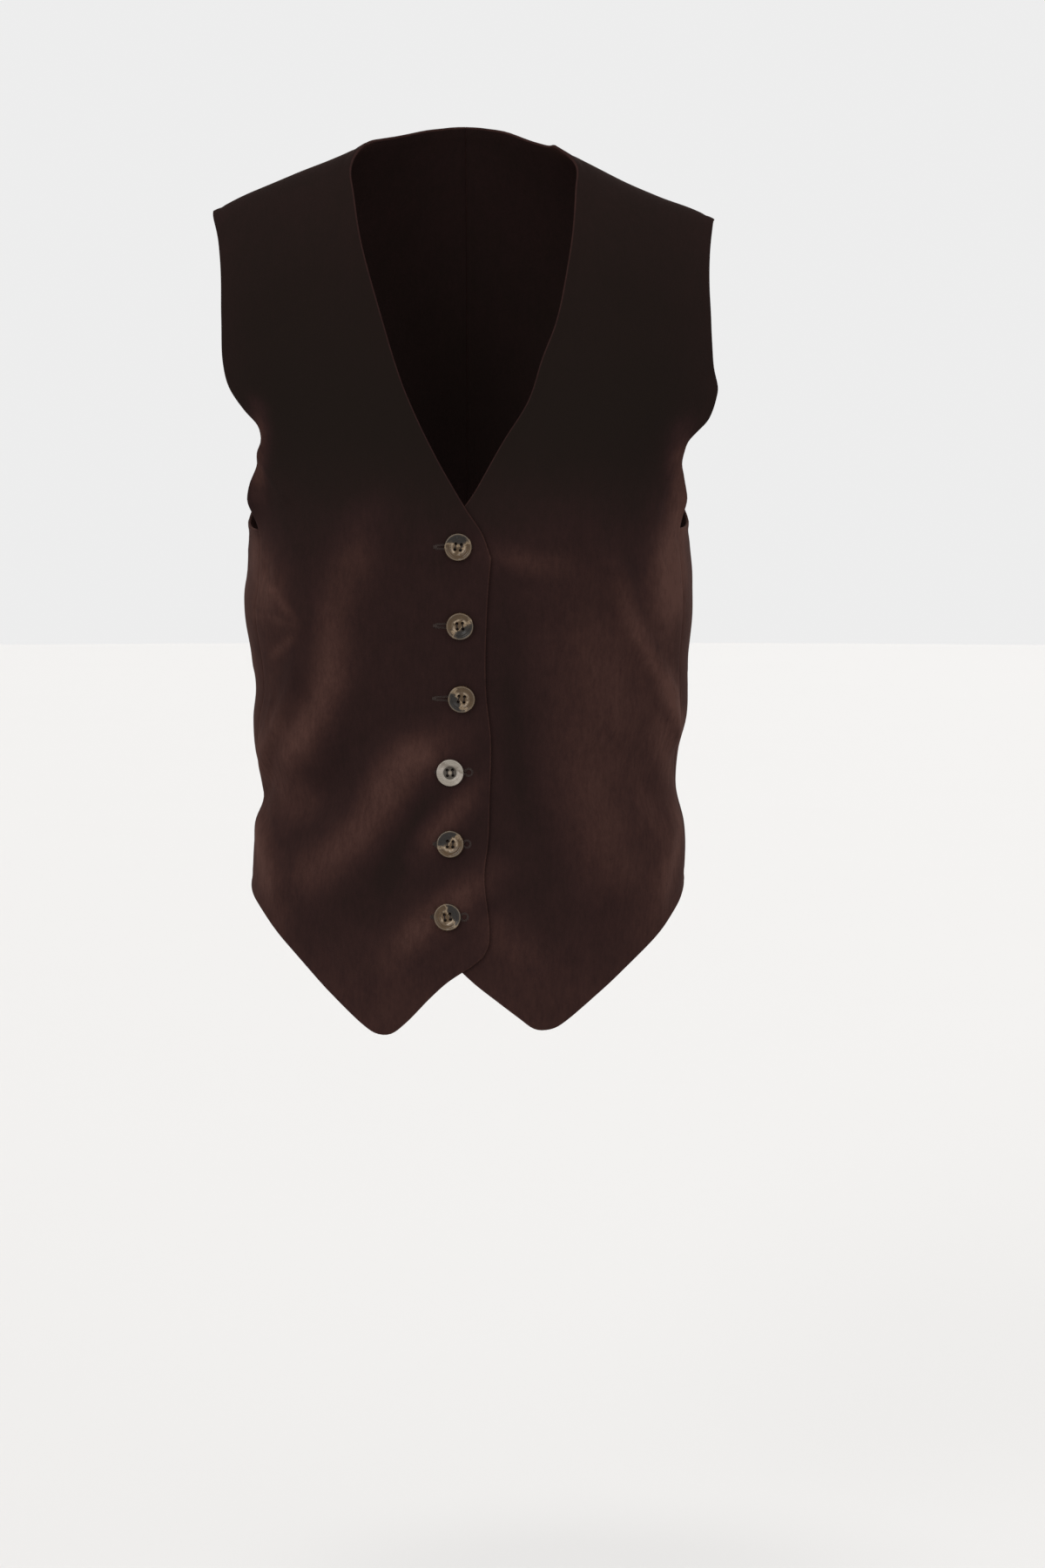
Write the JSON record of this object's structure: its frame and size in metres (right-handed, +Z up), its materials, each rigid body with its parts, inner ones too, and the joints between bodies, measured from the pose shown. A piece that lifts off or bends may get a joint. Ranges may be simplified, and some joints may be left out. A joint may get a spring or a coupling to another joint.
{
  "type": "suit waistcoat",
  "caption": "Sleeveless V-neck velvet suit waistcoat with a buttoned front, pointed hem and open armholes, in its worn hollow form.",
  "frame": {"origin": "midway between the two points where the shoulder seams meet the neck, at the height where the wearer's shoulders hold the garment", "axes": "+Z up along the garment's length; +X to the wearer's left, so the wearer's right front lies at -X; the buttoned front faces -Y"},
  "size_m": [0.3441, 0.2347, 0.6143],
  "materials": {
    "velvet_front": "dark brown short-pile velvet with a soft sheen",
    "velvet_back": "dark brown short-pile velvet with a soft sheen",
    "horn": "polished mottled horn",
    "thread": "dark brown sewing thread"
  },
  "bodies": {
    "root": {"front_right": "velvet_front", "front_left": "velvet_front", "back_right": "velvet_back", "back_left": "velvet_back", "button_1": "horn", "button_2": "horn", "button_3": "horn", "button_4": "horn", "button_5": "horn", "button_6": "horn", "thread_shank_1": "thread", "thread_shank_2": "thread", "thread_shank_3": "thread", "thread_shank_4": "thread", "thread_shank_5": "thread", "thread_shank_6": "thread"}
  },
  "joints": []
}
